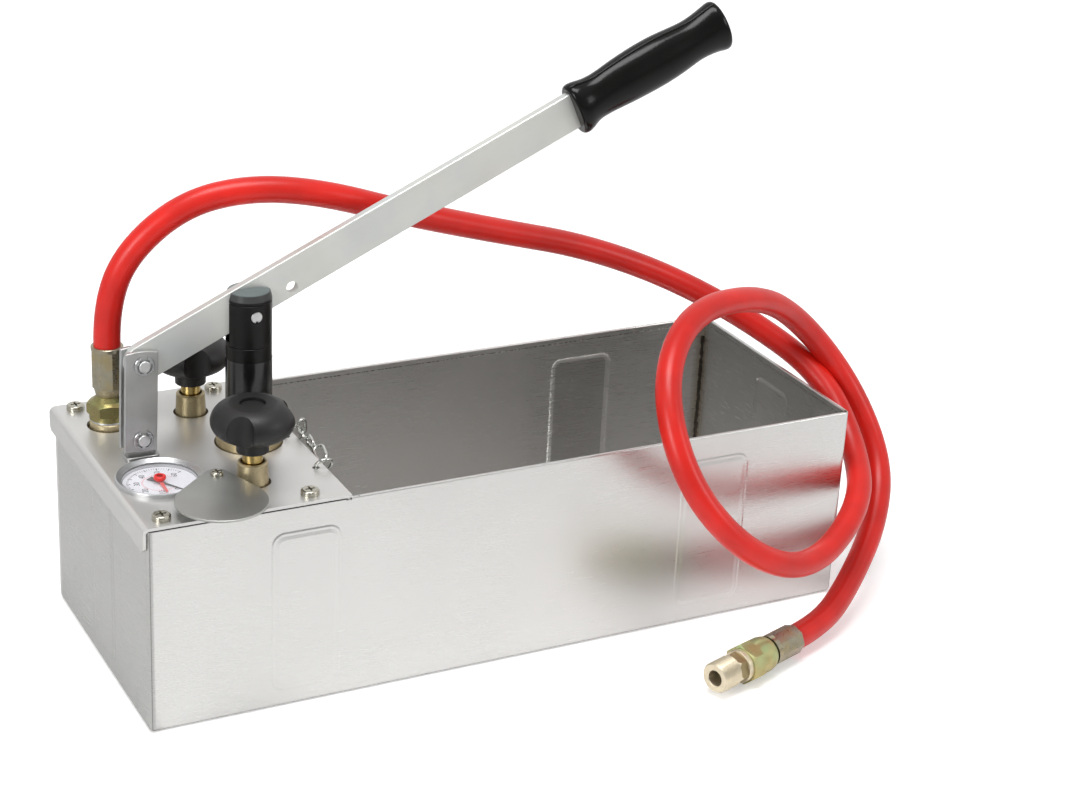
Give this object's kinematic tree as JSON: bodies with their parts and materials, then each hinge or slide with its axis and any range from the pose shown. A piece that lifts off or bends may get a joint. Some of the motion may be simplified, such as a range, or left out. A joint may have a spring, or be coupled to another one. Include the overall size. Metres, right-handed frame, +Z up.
{
  "type": "hydrostatic test pump",
  "caption": "Hand lever test pump: plunger, link, valves, covered pressure gauge and hose on an open folded steel water tank.",
  "frame": {"origin": "centre of the tank's underside, on the floor", "axes": "+X along the tank's length away from the pump head, +Z up, -Y towards the gauge side"},
  "size_m": [0.5692, 0.3, 0.4099],
  "materials": {
    "tank_steel": "brushed stainless, satin",
    "cover_steel": "smooth stainless, satin",
    "flap_steel": "dull satin",
    "zinc": "zinc plated, satin",
    "yellow_zinc": "yellow zinc plated, satin",
    "screw_nickel": "nickel plated, bright",
    "bezel_chrome": "bright",
    "brass_cast": "cast, blasted",
    "brass_bright": "machined, bright",
    "piston_black": "black, polished",
    "crosshead_black": "matt",
    "knob_black": "matt",
    "grip_black": "glossy",
    "dial_white": "matt",
    "needle_black": "matt",
    "marker_red": "satin",
    "lens_clear": "clear",
    "hose_red": "matt",
    "seal_black": "matt",
    "ball_steel": "bright"
  },
  "bodies": {
    "frame": {"tank_shell": "tank_steel", "cover_plate": "cover_steel", "cover_screws": "screw_nickel", "cover_rails": "tank_steel", "pump_block": "brass_cast", "pump_cylinder": "brass_bright", "piston_seal": "seal_black", "gland_nut": "brass_bright", "suction_body": "brass_cast", "suction_strainer": "tank_steel", "link_lug": "zinc", "front_valve_body": "brass_cast", "rear_valve_body": "brass_cast", "gauge_case": "brass_cast", "gauge_bezel": "bezel_chrome", "gauge_dial": "dial_white", "gauge_lens": "lens_clear", "flap_screw": "screw_nickel", "flap_spacer": "zinc", "flap_nut": "zinc", "outlet_adapter": "brass_cast", "outlet_washer": "zinc", "hose_nut": "yellow_zinc", "hose_ferrule": "yellow_zinc", "hose": "hose_red", "end_ferrule": "yellow_zinc", "end_nut": "yellow_zinc", "end_nipple": "brass_bright", "lock_chain": "zinc"},
    "plunger": {"piston": "piston_black", "crosshead": "crosshead_black", "crosshead_pin": "zinc"},
    "lever": {"lever_bar": "zinc", "lever_grip": "grip_black"},
    "link": {"link_plate_front": "zinc", "link_plate_rear": "zinc", "link_lower_pin": "zinc", "link_upper_pin": "zinc", "retaining_rings": "zinc"},
    "front_knob": {"front_valve_spindle": "brass_bright", "front_valve_knob": "knob_black", "front_knob_cap": "knob_black"},
    "rear_knob": {"rear_valve_spindle": "brass_bright", "rear_valve_knob": "knob_black", "rear_knob_cap": "knob_black"},
    "needle": {"gauge_needle": "needle_black"},
    "marker": {"gauge_marker": "marker_red"},
    "flap": {"gauge_flap": "flap_steel"},
    "suction_check": {"suction_ball": "ball_steel"},
    "discharge_check": {"discharge_ball": "ball_steel"}
  },
  "joints": [
    {"name": "piston_stroke", "type": "slide", "parent": "frame", "child": "plunger", "axis": [0, 0, 1], "range_m": [-0.038, 0.006]},
    {"name": "lever_pivot", "type": "hinge", "parent": "plunger", "child": "lever", "pos_m": [-0.1513, 0, 0.233], "axis": [0, -1, 0], "range_deg": [-29.2, 4.7]},
    {"name": "link_swing", "type": "hinge", "parent": "frame", "child": "link", "pos_m": [-0.224, 0, 0.157], "axis": [0, -1, 0], "range_deg": [-1.2, 6.2]},
    {"name": "front_valve_turn", "type": "hinge", "parent": "frame", "child": "front_knob", "pos_m": [-0.1705, -0.058, 0.18], "axis": [0, 0, 1], "range_deg": [0, 450]},
    {"name": "rear_valve_turn", "type": "hinge", "parent": "frame", "child": "rear_knob", "pos_m": [-0.1705, 0.058, 0.18], "axis": [0, 0, 1], "range_deg": [0, 450]},
    {"name": "needle_turn", "type": "hinge", "parent": "frame", "child": "needle", "pos_m": [-0.2232, -0.0353, 0.1407], "axis": [0, 0, 1], "range_deg": [-270, 0]},
    {"name": "marker_turn", "type": "hinge", "parent": "frame", "child": "marker", "pos_m": [-0.2232, -0.0353, 0.143], "axis": [0, 0, 1], "range_deg": [-234, 36]},
    {"name": "flap_turn", "type": "hinge", "parent": "frame", "child": "flap", "pos_m": [-0.1933, -0.056, 0.149], "axis": [0, 0, 1], "range_deg": [-106, 5]},
    {"name": "suction_lift", "type": "slide", "parent": "frame", "child": "suction_check", "axis": [0, 0, 1], "range_m": [0, 0.0025]},
    {"name": "discharge_lift", "type": "slide", "parent": "frame", "child": "discharge_check", "axis": [0, 0, 1], "range_m": [0, 0.0012]}
  ],
  "couplings": [
    {"joint": "lever_pivot", "follows": "piston_stroke", "rad_per_m": 13.301},
    {"joint": "link_swing", "follows": "piston_stroke", "rad_per_m": -2.75}
  ]
}
